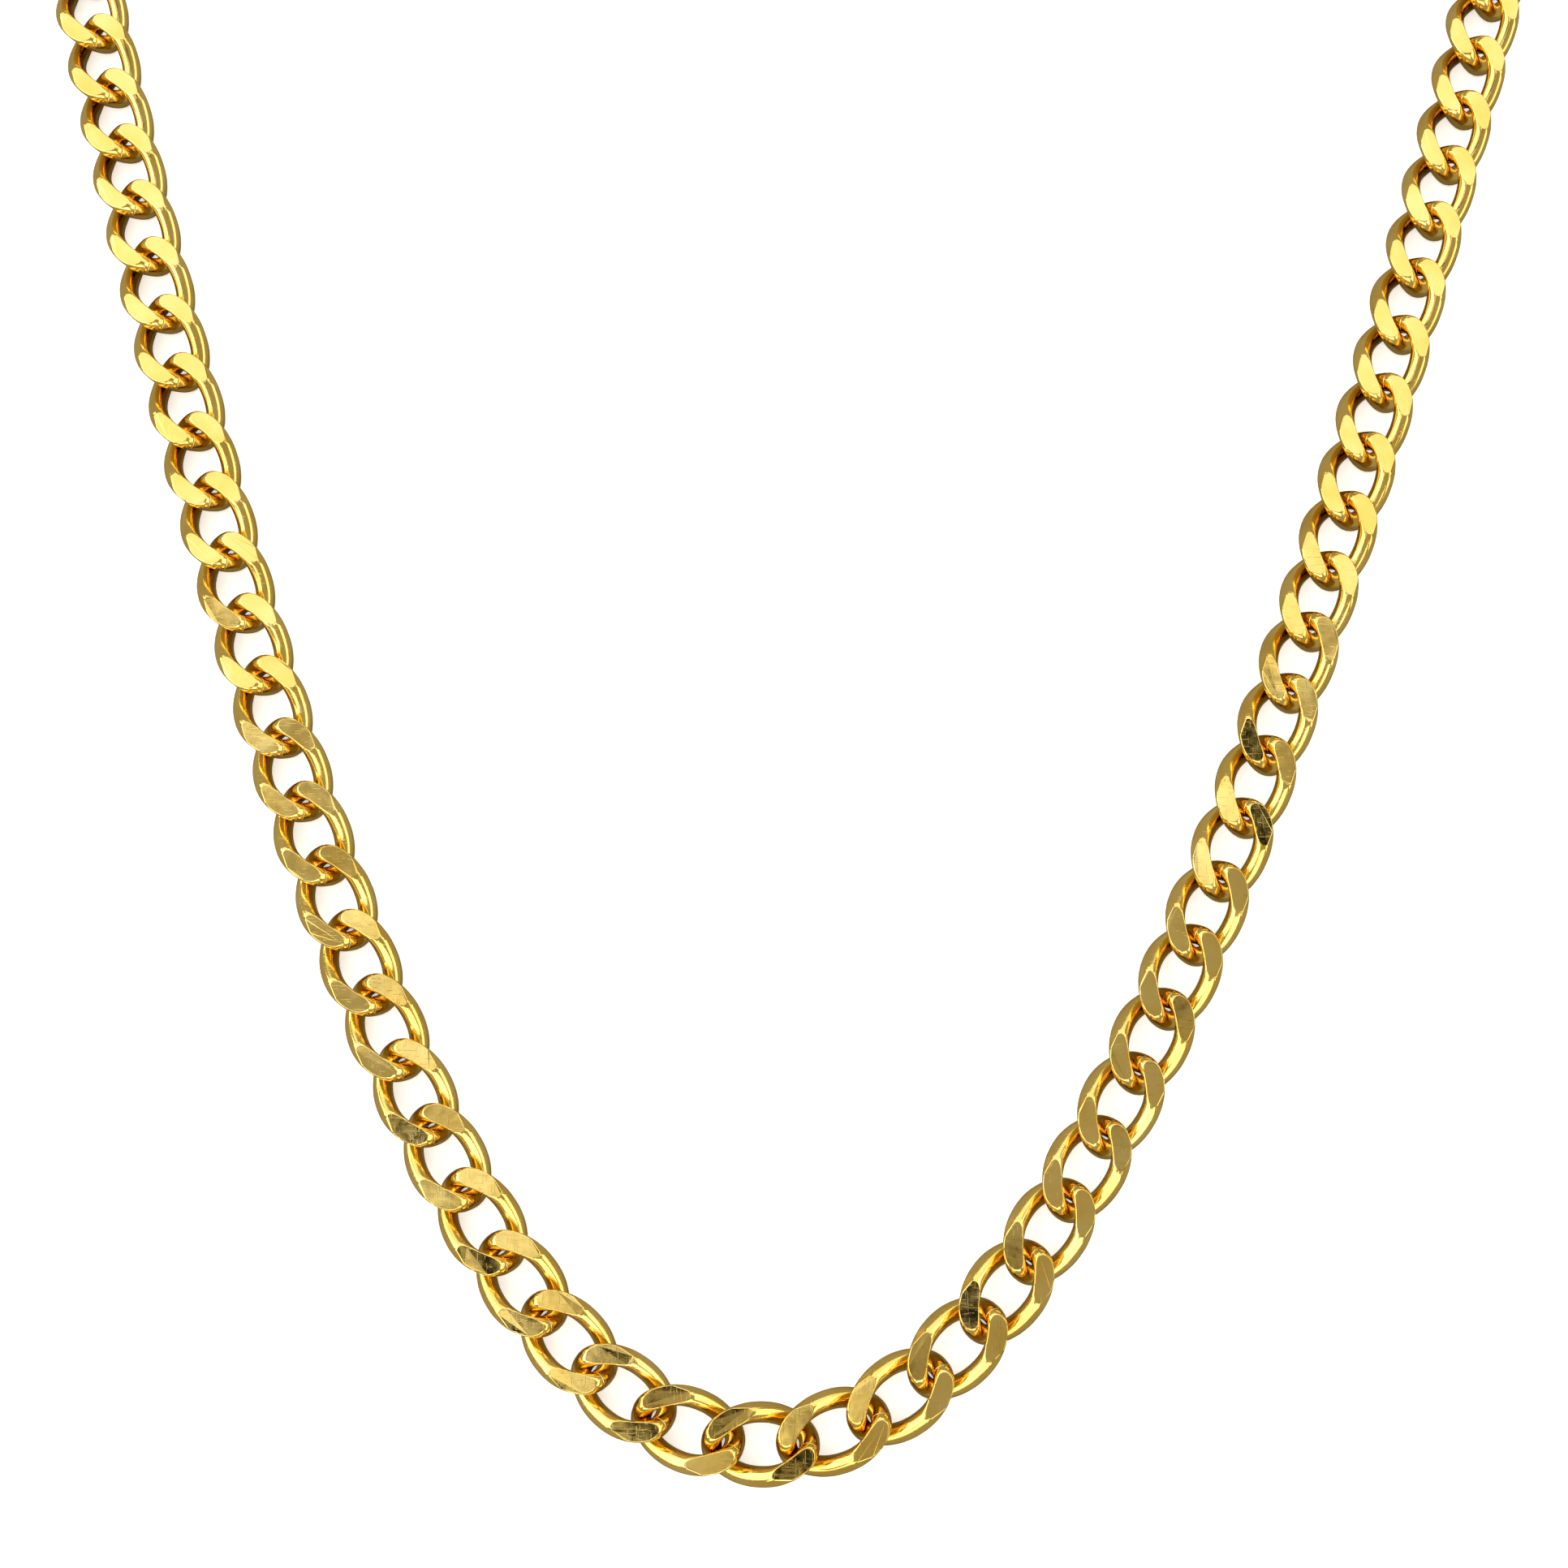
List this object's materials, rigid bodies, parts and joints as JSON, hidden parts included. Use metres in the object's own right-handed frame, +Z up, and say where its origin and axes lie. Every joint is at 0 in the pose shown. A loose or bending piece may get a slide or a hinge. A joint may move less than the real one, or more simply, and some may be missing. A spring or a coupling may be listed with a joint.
{
  "type": "chain necklace",
  "caption": "Curb chain necklace of flat-cut polished gold links, laid open in a U, with a sprung lobster clasp and a catch ring at its ends.",
  "frame": {"origin": "on the table, under the middle of the necklace's bounding box as it lies open in a U", "axes": "+Z up from the table, through the chain's front faces; +Y from the bottom of the U to its two open ends; +X across the U, towards the end with the catch ring"},
  "size_m": [0.1818, 0.2346, 0.0028],
  "materials": {
    "chain_gold": "polished",
    "ring_gold": "polished",
    "clasp_gold": "polished",
    "spring_steel": "satin"
  },
  "bodies": {
    "bottom_link": {"bottom_link": "chain_gold"},
    "left_link_01": {"left_link_01": "chain_gold"},
    "left_link_02": {"left_link_02": "chain_gold"},
    "left_link_03": {"left_link_03": "chain_gold"},
    "left_link_04": {"left_link_04": "chain_gold"},
    "left_link_05": {"left_link_05": "chain_gold"},
    "left_link_06": {"left_link_06": "chain_gold"},
    "left_link_07": {"left_link_07": "chain_gold"},
    "left_link_08": {"left_link_08": "chain_gold"},
    "left_link_09": {"left_link_09": "chain_gold"},
    "left_links_10_11": {"left_links_10_11": "chain_gold"},
    "left_links_12_13": {"left_links_12_13": "chain_gold"},
    "left_links_14_15": {"left_links_14_15": "chain_gold"},
    "left_links_16_17": {"left_links_16_17": "chain_gold"},
    "left_links_18_19": {"left_links_18_19": "chain_gold"},
    "left_links_20_21": {"left_links_20_21": "chain_gold"},
    "left_links_22_23": {"left_links_22_23": "chain_gold"},
    "left_links_24_25": {"left_links_24_25": "chain_gold"},
    "left_links_26_27": {"left_links_26_27": "chain_gold"},
    "left_links_28_29": {"left_links_28_29": "chain_gold"},
    "left_links_30_31": {"left_links_30_31": "chain_gold"},
    "left_links_32_33": {"left_links_32_33": "chain_gold"},
    "left_links_34_35": {"left_links_34_35": "chain_gold"},
    "left_links_36_37": {"left_links_36_37": "chain_gold"},
    "left_links_38_39": {"left_links_38_39": "chain_gold"},
    "left_links_40_41": {"left_links_40_41": "chain_gold"},
    "left_links_42_43": {"left_links_42_43": "chain_gold"},
    "right_link_01": {"right_link_01": "chain_gold"},
    "right_link_02": {"right_link_02": "chain_gold"},
    "right_link_03": {"right_link_03": "chain_gold"},
    "right_link_04": {"right_link_04": "chain_gold"},
    "right_link_05": {"right_link_05": "chain_gold"},
    "right_link_06": {"right_link_06": "chain_gold"},
    "right_link_07": {"right_link_07": "chain_gold"},
    "right_link_08": {"right_link_08": "chain_gold"},
    "right_link_09": {"right_link_09": "chain_gold"},
    "right_links_10_11": {"right_links_10_11": "chain_gold"},
    "right_links_12_13": {"right_links_12_13": "chain_gold"},
    "right_links_14_15": {"right_links_14_15": "chain_gold"},
    "right_links_16_17": {"right_links_16_17": "chain_gold"},
    "right_links_18_19": {"right_links_18_19": "chain_gold"},
    "right_links_20_21": {"right_links_20_21": "chain_gold"},
    "right_links_22_23": {"right_links_22_23": "chain_gold"},
    "right_links_24_25": {"right_links_24_25": "chain_gold"},
    "right_links_26_27": {"right_links_26_27": "chain_gold"},
    "right_links_28_29": {"right_links_28_29": "chain_gold"},
    "right_links_30_31": {"right_links_30_31": "chain_gold"},
    "right_links_32_33": {"right_links_32_33": "chain_gold"},
    "right_links_34_35": {"right_links_34_35": "chain_gold"},
    "right_links_36_37": {"right_links_36_37": "chain_gold"},
    "right_links_38_39": {"right_links_38_39": "chain_gold"},
    "right_links_40_41": {"right_links_40_41": "chain_gold"},
    "right_links_42_43": {"right_links_42_43": "chain_gold"},
    "catch_ring": {"catch_ring": "ring_gold"},
    "claw_ring": {"claw_ring": "ring_gold"},
    "claw": {"claw_body": "clasp_gold", "lever_pin": "clasp_gold", "lever_spring": "spring_steel"},
    "claw_lever": {"claw_lever": "clasp_gold"}
  },
  "joints": [
    {"name": "left_link_01_sway", "type": "hinge", "parent": "bottom_link", "child": "left_link_01", "pos_m": [-0.00091, -0.11433, 0.0012], "axis": [0, 0, -1], "range_deg": [-44.1, 3.9]},
    {"name": "left_link_02_sway", "type": "hinge", "parent": "left_link_01", "child": "left_link_02", "pos_m": [-0.00603, -0.11246, 0.0012], "axis": [0, 0, 1], "range_deg": [-8.9, 39.1]},
    {"name": "left_link_03_sway", "type": "hinge", "parent": "left_link_02", "child": "left_link_03", "pos_m": [-0.01048, -0.10931, 0.0012], "axis": [0, 0, -1], "range_deg": [-34.1, 13.9]},
    {"name": "left_link_04_fold", "type": "hinge", "parent": "left_link_03", "child": "left_link_04", "pos_m": [-0.01431, -0.10544, 0.0012], "axis": [-0.7504, -0.661, 0], "range_deg": [-20, 20]},
    {"name": "left_link_05_sway", "type": "hinge", "parent": "left_link_04", "child": "left_link_05", "pos_m": [-0.01767, -0.10115, 0.0012], "axis": [0, 0, 1], "range_deg": [-19.4, 28.6]},
    {"name": "left_link_06_fold", "type": "hinge", "parent": "left_link_05", "child": "left_link_06", "pos_m": [-0.02067, -0.0966, 0.0012], "axis": [0.8498, 0.527, 0], "range_deg": [-20, 20]},
    {"name": "left_link_07_sway", "type": "hinge", "parent": "left_link_06", "child": "left_link_07", "pos_m": [-0.02341, -0.09189, 0.0012], "axis": [0, 0, -1], "range_deg": [-26.5, 21.5]},
    {"name": "left_link_08_fold", "type": "hinge", "parent": "left_link_07", "child": "left_link_08", "pos_m": [-0.02594, -0.08706, 0.0012], "axis": [-0.8931, -0.4498, 0], "range_deg": [-20, 20]},
    {"name": "left_link_09_sway", "type": "hinge", "parent": "left_link_08", "child": "left_link_09", "pos_m": [-0.02831, -0.08215, 0.0012], "axis": [0, 0, 1], "range_deg": [-22.5, 25.5]},
    {"name": "left_links_10_11_fold", "type": "hinge", "parent": "left_link_09", "child": "left_links_10_11", "pos_m": [-0.03055, -0.07718, 0.0012], "axis": [0.916, 0.4011, 0], "range_deg": [-20, 20]},
    {"name": "left_links_12_13_sway", "type": "hinge", "parent": "left_links_10_11", "child": "left_links_12_13", "pos_m": [-0.03473, -0.06712, 0.0012], "axis": [0, 0, -1], "range_deg": [-24.9, 23.1]},
    {"name": "left_links_14_15_fold", "type": "hinge", "parent": "left_links_12_13", "child": "left_links_14_15", "pos_m": [-0.0386, -0.05693, 0.0012], "axis": [-0.9389, -0.3441, 0], "range_deg": [-20, 20]},
    {"name": "left_links_16_17_sway", "type": "hinge", "parent": "left_links_14_15", "child": "left_links_16_17", "pos_m": [-0.04225, -0.04666, 0.0012], "axis": [0, 0, 1], "range_deg": [-23.5, 24.5]},
    {"name": "left_links_18_19_fold", "type": "hinge", "parent": "left_links_16_17", "child": "left_links_18_19", "pos_m": [-0.04572, -0.03632, 0.0012], "axis": [0.9501, 0.3119, 0], "range_deg": [-20, 20]},
    {"name": "left_links_20_21_sway", "type": "hinge", "parent": "left_links_18_19", "child": "left_links_20_21", "pos_m": [-0.04905, -0.02595, 0.0012], "axis": [0, 0, -1], "range_deg": [-24.3, 23.7]},
    {"name": "left_links_22_23_fold", "type": "hinge", "parent": "left_links_20_21", "child": "left_links_22_23", "pos_m": [-0.05228, -0.01553, 0.0012], "axis": [-0.9566, -0.2914, 0], "range_deg": [-20, 20]},
    {"name": "left_links_24_25_sway", "type": "hinge", "parent": "left_links_22_23", "child": "left_links_24_25", "pos_m": [-0.05541, -0.00509, 0.0012], "axis": [0, 0, 1], "range_deg": [-23.8, 24.2]},
    {"name": "left_links_26_27_fold", "type": "hinge", "parent": "left_links_24_25", "child": "left_links_26_27", "pos_m": [-0.05847, 0.00537, 0.0012], "axis": [0.9608, 0.2772, 0], "range_deg": [-20, 20]},
    {"name": "left_links_28_29_sway", "type": "hinge", "parent": "left_links_26_27", "child": "left_links_28_29", "pos_m": [-0.06146, 0.01585, 0.0012], "axis": [0, 0, -1], "range_deg": [-24.2, 23.8]},
    {"name": "left_links_30_31_fold", "type": "hinge", "parent": "left_links_28_29", "child": "left_links_30_31", "pos_m": [-0.06439, 0.02635, 0.0012], "axis": [-0.9638, -0.2668, 0], "range_deg": [-20, 20]},
    {"name": "left_links_32_33_sway", "type": "hinge", "parent": "left_links_30_31", "child": "left_links_32_33", "pos_m": [-0.06728, 0.03686, 0.0012], "axis": [0, 0, 1], "range_deg": [-23.9, 24.1]},
    {"name": "left_links_34_35_fold", "type": "hinge", "parent": "left_links_32_33", "child": "left_links_34_35", "pos_m": [-0.07012, 0.04738, 0.0012], "axis": [0.9659, 0.2588, 0], "range_deg": [-20, 20]},
    {"name": "left_links_36_37_sway", "type": "hinge", "parent": "left_links_34_35", "child": "left_links_36_37", "pos_m": [-0.07292, 0.05792, 0.0012], "axis": [0, 0, -1], "range_deg": [-24.1, 23.9]},
    {"name": "left_links_38_39_fold", "type": "hinge", "parent": "left_links_36_37", "child": "left_links_38_39", "pos_m": [-0.07569, 0.06846, 0.0012], "axis": [-0.9676, -0.2525, 0], "range_deg": [-20, 20]},
    {"name": "left_links_40_41_sway", "type": "hinge", "parent": "left_links_38_39", "child": "left_links_40_41", "pos_m": [-0.07843, 0.07901, 0.0012], "axis": [0, 0, 1], "range_deg": [-23.9, 24.1]},
    {"name": "left_links_42_43_fold", "type": "hinge", "parent": "left_links_40_41", "child": "left_links_42_43", "pos_m": [-0.08114, 0.08957, 0.0012], "axis": [0.9689, 0.2475, 0], "range_deg": [-20, 20]},
    {"name": "right_link_01_sway", "type": "hinge", "parent": "bottom_link", "child": "right_link_01", "pos_m": [0.00454, -0.11433, 0.0012], "axis": [0, 0, 1], "range_deg": [-44.1, 3.9]},
    {"name": "right_link_02_sway", "type": "hinge", "parent": "right_link_01", "child": "right_link_02", "pos_m": [0.00966, -0.11246, 0.0012], "axis": [0, 0, -1], "range_deg": [-8.9, 39.1]},
    {"name": "right_link_03_sway", "type": "hinge", "parent": "right_link_02", "child": "right_link_03", "pos_m": [0.01411, -0.10931, 0.0012], "axis": [0, 0, 1], "range_deg": [-34.1, 13.9]},
    {"name": "right_link_04_fold", "type": "hinge", "parent": "right_link_03", "child": "right_link_04", "pos_m": [0.01795, -0.10544, 0.0012], "axis": [-0.7504, 0.661, 0], "range_deg": [-20, 20]},
    {"name": "right_link_05_sway", "type": "hinge", "parent": "right_link_04", "child": "right_link_05", "pos_m": [0.0213, -0.10115, 0.0012], "axis": [0, 0, -1], "range_deg": [-19.4, 28.6]},
    {"name": "right_link_06_fold", "type": "hinge", "parent": "right_link_05", "child": "right_link_06", "pos_m": [0.02431, -0.0966, 0.0012], "axis": [0.8498, -0.527, 0], "range_deg": [-20, 20]},
    {"name": "right_link_07_sway", "type": "hinge", "parent": "right_link_06", "child": "right_link_07", "pos_m": [0.02705, -0.09189, 0.0012], "axis": [0, 0, 1], "range_deg": [-26.5, 21.5]},
    {"name": "right_link_08_fold", "type": "hinge", "parent": "right_link_07", "child": "right_link_08", "pos_m": [0.02958, -0.08706, 0.0012], "axis": [-0.8931, 0.4498, 0], "range_deg": [-20, 20]},
    {"name": "right_link_09_sway", "type": "hinge", "parent": "right_link_08", "child": "right_link_09", "pos_m": [0.03195, -0.08215, 0.0012], "axis": [0, 0, -1], "range_deg": [-22.5, 25.5]},
    {"name": "right_links_10_11_fold", "type": "hinge", "parent": "right_link_09", "child": "right_links_10_11", "pos_m": [0.03419, -0.07718, 0.0012], "axis": [0.916, -0.4011, 0], "range_deg": [-20, 20]},
    {"name": "right_links_12_13_sway", "type": "hinge", "parent": "right_links_10_11", "child": "right_links_12_13", "pos_m": [0.03836, -0.06712, 0.0012], "axis": [0, 0, 1], "range_deg": [-24.9, 23.1]},
    {"name": "right_links_14_15_fold", "type": "hinge", "parent": "right_links_12_13", "child": "right_links_14_15", "pos_m": [0.04224, -0.05693, 0.0012], "axis": [-0.9389, 0.3441, 0], "range_deg": [-20, 20]},
    {"name": "right_links_16_17_sway", "type": "hinge", "parent": "right_links_14_15", "child": "right_links_16_17", "pos_m": [0.04588, -0.04666, 0.0012], "axis": [0, 0, -1], "range_deg": [-23.5, 24.5]},
    {"name": "right_links_18_19_fold", "type": "hinge", "parent": "right_links_16_17", "child": "right_links_18_19", "pos_m": [0.04935, -0.03632, 0.0012], "axis": [0.9501, -0.3119, 0], "range_deg": [-20, 20]},
    {"name": "right_links_20_21_sway", "type": "hinge", "parent": "right_links_18_19", "child": "right_links_20_21", "pos_m": [0.05269, -0.02595, 0.0012], "axis": [0, 0, 1], "range_deg": [-24.3, 23.7]},
    {"name": "right_links_22_23_fold", "type": "hinge", "parent": "right_links_20_21", "child": "right_links_22_23", "pos_m": [0.05591, -0.01553, 0.0012], "axis": [-0.9566, 0.2914, 0], "range_deg": [-20, 20]},
    {"name": "right_links_24_25_sway", "type": "hinge", "parent": "right_links_22_23", "child": "right_links_24_25", "pos_m": [0.05905, -0.00509, 0.0012], "axis": [0, 0, -1], "range_deg": [-23.8, 24.2]},
    {"name": "right_links_26_27_fold", "type": "hinge", "parent": "right_links_24_25", "child": "right_links_26_27", "pos_m": [0.0621, 0.00537, 0.0012], "axis": [0.9608, -0.2772, 0], "range_deg": [-20, 20]},
    {"name": "right_links_28_29_sway", "type": "hinge", "parent": "right_links_26_27", "child": "right_links_28_29", "pos_m": [0.06509, 0.01585, 0.0012], "axis": [0, 0, 1], "range_deg": [-24.2, 23.8]},
    {"name": "right_links_30_31_fold", "type": "hinge", "parent": "right_links_28_29", "child": "right_links_30_31", "pos_m": [0.06803, 0.02635, 0.0012], "axis": [-0.9638, 0.2668, 0], "range_deg": [-20, 20]},
    {"name": "right_links_32_33_sway", "type": "hinge", "parent": "right_links_30_31", "child": "right_links_32_33", "pos_m": [0.07091, 0.03686, 0.0012], "axis": [0, 0, -1], "range_deg": [-23.9, 24.1]},
    {"name": "right_links_34_35_fold", "type": "hinge", "parent": "right_links_32_33", "child": "right_links_34_35", "pos_m": [0.07375, 0.04738, 0.0012], "axis": [0.9659, -0.2588, 0], "range_deg": [-20, 20]},
    {"name": "right_links_36_37_sway", "type": "hinge", "parent": "right_links_34_35", "child": "right_links_36_37", "pos_m": [0.07655, 0.05792, 0.0012], "axis": [0, 0, 1], "range_deg": [-24.1, 23.9]},
    {"name": "right_links_38_39_fold", "type": "hinge", "parent": "right_links_36_37", "child": "right_links_38_39", "pos_m": [0.07932, 0.06846, 0.0012], "axis": [-0.9676, 0.2525, 0], "range_deg": [-20, 20]},
    {"name": "right_links_40_41_sway", "type": "hinge", "parent": "right_links_38_39", "child": "right_links_40_41", "pos_m": [0.08206, 0.07901, 0.0012], "axis": [0, 0, -1], "range_deg": [-23.9, 24.1]},
    {"name": "right_links_42_43_fold", "type": "hinge", "parent": "right_links_40_41", "child": "right_links_42_43", "pos_m": [0.08477, 0.08957, 0.0012], "axis": [0.9689, -0.2475, 0], "range_deg": [-20, 20]},
    {"name": "catch_ring_swing", "type": "hinge", "parent": "right_links_42_43", "child": "catch_ring", "pos_m": [0.08766, 0.10093, 0.0012], "axis": [-0.6854, 0.1738, -0.7071], "range_deg": [-25, 7]},
    {"name": "claw_ring_swing", "type": "hinge", "parent": "left_links_42_43", "child": "claw_ring", "pos_m": [-0.08402, 0.10093, 0.0012], "axis": [-0.6854, -0.1738, -0.7071], "range_deg": [-25, 7]},
    {"name": "claw_swing", "type": "hinge", "parent": "claw_ring", "child": "claw", "pos_m": [-0.08483, 0.10413, 0.0013], "axis": [-0.9219, -0.2338, 0.309], "range_deg": [-45, 45]},
    {"name": "lever_turn", "type": "hinge", "parent": "claw", "child": "claw_lever", "pos_m": [-0.08535, 0.1074, 0.0014], "axis": [0, 0, 1], "range_deg": [0, 20], "stiffness_Nm_per_rad": 0.0002, "springref_deg": -20.05}
  ]
}
